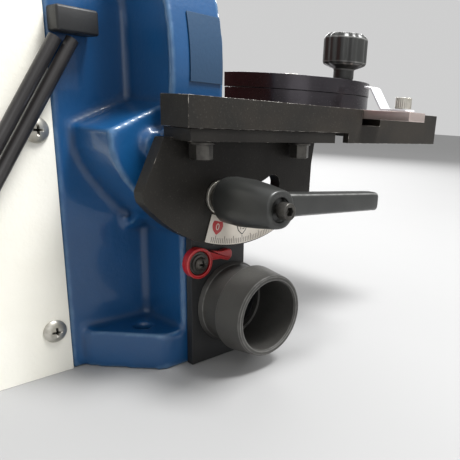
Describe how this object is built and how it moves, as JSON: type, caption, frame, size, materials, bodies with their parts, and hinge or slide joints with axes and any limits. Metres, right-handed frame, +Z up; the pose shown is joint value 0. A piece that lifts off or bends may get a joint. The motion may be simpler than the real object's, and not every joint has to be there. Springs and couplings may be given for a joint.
{
  "type": "bench disc sander",
  "caption": "Bench disc sander with a cast body, enclosed motor, guarded sanding disc, tilting table on half-moon trunnions, clamping lever, mitre gauge and round dust port.",
  "frame": {"origin": "on the bench surface, straight below the middle of the sanding disc, 4.5 mm behind its abrasive face", "axes": "+X towards the dust port and the clamping lever, +Y the way the sanding face looks, towards the operator, +Z up"},
  "size_m": [0.3033, 0.393, 0.28],
  "materials": {
    "blue_enamel": "glossy deep blue enamel on cast metal",
    "cream_enamel": "satin cream enamel on sheet steel",
    "blackened_iron": "dark machined and blackened",
    "bright_steel": "bright plated",
    "black_oxide_steel": "black oxide",
    "aluminium": "machined",
    "abrasive_grit": "coated abrasive grit on cloth",
    "black_plastic": "satin, slightly grained",
    "red_plastic": "glossy",
    "green_plastic": "glossy",
    "black_rubber": "satin cable sheath",
    "white_scale": "printed scale film and clear pointer strip",
    "label_film": "blank printed film"
  },
  "bodies": {
    "base": {"body_casting": "blue_enamel", "motor_mount_plate": "blue_enamel", "motor_cover": "cream_enamel", "cover_back": "cream_enamel", "guard_label": "label_film", "cover_screw_1": "bright_steel", "cover_screw_2": "bright_steel", "cover_screw_3": "bright_steel", "cover_screw_4": "bright_steel", "cover_screw_5": "bright_steel", "cover_screw_6": "bright_steel", "cover_screw_7": "bright_steel", "cover_screw_8": "bright_steel", "front_bearing": "bright_steel", "motor_front_bearing": "bright_steel", "motor_rear_bearing": "bright_steel", "clamp_stud": "bright_steel", "clamp_washer": "bright_steel", "left_clamp_washer": "bright_steel", "flap_screw": "bright_steel", "motor_front_bell": "blackened_iron", "motor_rear_bell": "blackened_iron", "motor_can": "black_plastic", "dust_block": "black_plastic", "port_blank": "black_plastic", "dust_port": "black_plastic", "switch_block": "black_plastic", "lead_block_upper": "black_plastic", "lead_block_lower": "black_plastic", "clamp_spring_washer": "black_oxide_steel", "left_clamp_bolt": "black_oxide_steel", "motor_lead": "black_rubber", "switch_lead": "black_rubber"},
    "disc": {"disc_plate": "aluminium", "abrasive_disc": "abrasive_grit", "arbor_shaft": "bright_steel", "motor_rotor": "black_oxide_steel", "cooling_fan": "black_plastic"},
    "table": {"table_casting": "blackened_iron", "trunnion_right": "blackened_iron", "trunnion_left": "blackened_iron", "table_bolt_1": "black_oxide_steel", "table_bolt_2": "black_oxide_steel", "table_bolt_3": "black_oxide_steel", "table_bolt_4": "black_oxide_steel", "tilt_scale": "white_scale"},
    "clamp": {"clamp_lever": "black_plastic", "clamp_cap_screw": "black_oxide_steel"},
    "gauge": {"mitre_bar": "bright_steel", "mitre_pivot_pin": "bright_steel", "pointer_screw": "bright_steel", "mitre_pointer": "white_scale"},
    "gauge_head": {"mitre_head_base": "blackened_iron", "mitre_head_top": "blackened_iron"},
    "gauge_knob": {"mitre_knob": "black_plastic"},
    "flap": {"flap_lever": "red_plastic", "flap_boss": "black_plastic"},
    "start": {"start_button": "green_plastic"},
    "stop": {"stop_button": "red_plastic"}
  },
  "joints": [
    {"name": "disc_spin", "type": "hinge", "parent": "base", "child": "disc", "pos_m": [0, 0, 0.172], "axis": [0, 1, 0], "continuous": true},
    {"name": "table_tilt", "type": "hinge", "parent": "base", "child": "table", "pos_m": [0, 0.005, 0.1584], "axis": [1, 0, 0], "range_deg": [-45, 0]},
    {"name": "clamp_turn", "type": "hinge", "parent": "base", "child": "clamp", "pos_m": [0.14, -0.01, 0.1065], "axis": [1, 0, 0], "range_deg": [0, 75]},
    {"name": "gauge_slide", "type": "slide", "parent": "table", "child": "gauge", "axis": [1, 0, 0], "range_m": [-0.15, 0.02]},
    {"name": "gauge_turn", "type": "hinge", "parent": "gauge", "child": "gauge_head", "pos_m": [0.056, 0.1087, 0.1584], "axis": [0, 0, 1], "range_deg": [-60, 60]},
    {"name": "gauge_knob_turn", "type": "hinge", "parent": "gauge", "child": "gauge_knob", "pos_m": [0.105, 0.1087, 0.19], "axis": [0, 0, 1], "range_deg": [-180, 180]},
    {"name": "flap_turn", "type": "hinge", "parent": "base", "child": "flap", "pos_m": [0.104, -0.0152, 0.0666], "axis": [1, 0, 0], "range_deg": [0, 45]},
    {"name": "start_press", "type": "slide", "parent": "base", "child": "start", "axis": [0, -1, 0], "range_m": [0, 0.003], "stiffness_N_per_m": 800},
    {"name": "stop_press", "type": "slide", "parent": "base", "child": "stop", "axis": [0, -1, 0], "range_m": [0, 0.003], "stiffness_N_per_m": 800}
  ]
}
